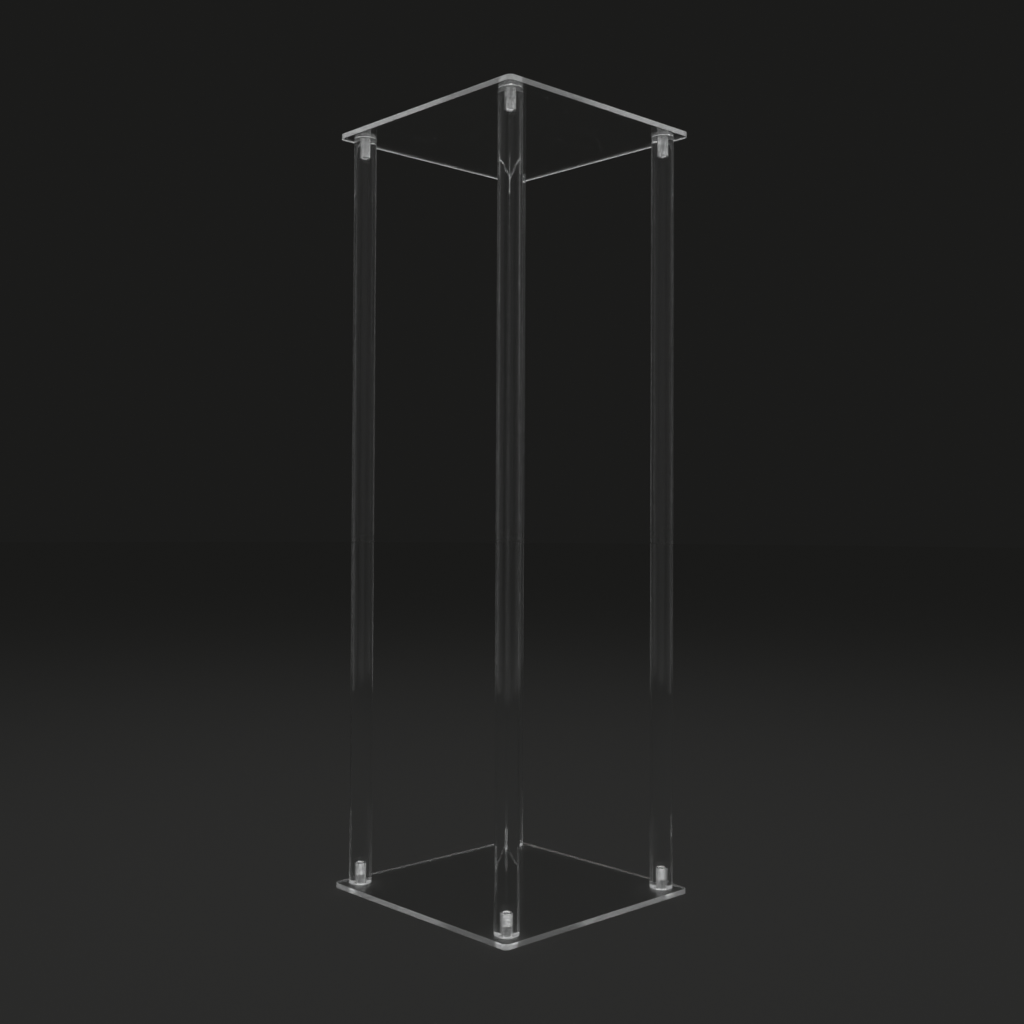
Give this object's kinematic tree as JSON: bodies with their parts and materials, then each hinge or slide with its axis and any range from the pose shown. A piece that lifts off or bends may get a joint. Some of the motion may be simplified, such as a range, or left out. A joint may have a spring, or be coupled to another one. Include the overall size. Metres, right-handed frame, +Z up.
{
  "type": "display plinth",
  "caption": "Clear acrylic display plinth: two square plates held apart by slender solid rods near the corners, joined by countersunk screws into the rods' tapped ends.",
  "frame": {"origin": "centre of the base plate's underside, on the surface that the plinth stands on", "axes": "+Z up along the rods; X and Y along the plates' sides; -Y is taken as the front, and all four sides are alike"},
  "size_m": [0.2, 0.2, 0.6082],
  "materials": {
    "acrylic_sheet": "clear cast acrylic sheet, polished faces, pale satin cut edges",
    "acrylic_rod": "clear solid acrylic bar, polished wall, satin turned ends, frosted tapped holes",
    "screw_steel": "plain stainless steel, turned and lightly bright"
  },
  "bodies": {
    "root": {"base_plate": "acrylic_sheet", "top_plate": "acrylic_sheet", "rod_front_left": "acrylic_rod", "base_screw_front_left": "screw_steel", "top_screw_front_left": "screw_steel", "rod_front_right": "acrylic_rod", "base_screw_front_right": "screw_steel", "top_screw_front_right": "screw_steel", "rod_back_right": "acrylic_rod", "base_screw_back_right": "screw_steel", "top_screw_back_right": "screw_steel", "rod_back_left": "acrylic_rod", "base_screw_back_left": "screw_steel", "top_screw_back_left": "screw_steel"}
  },
  "joints": []
}
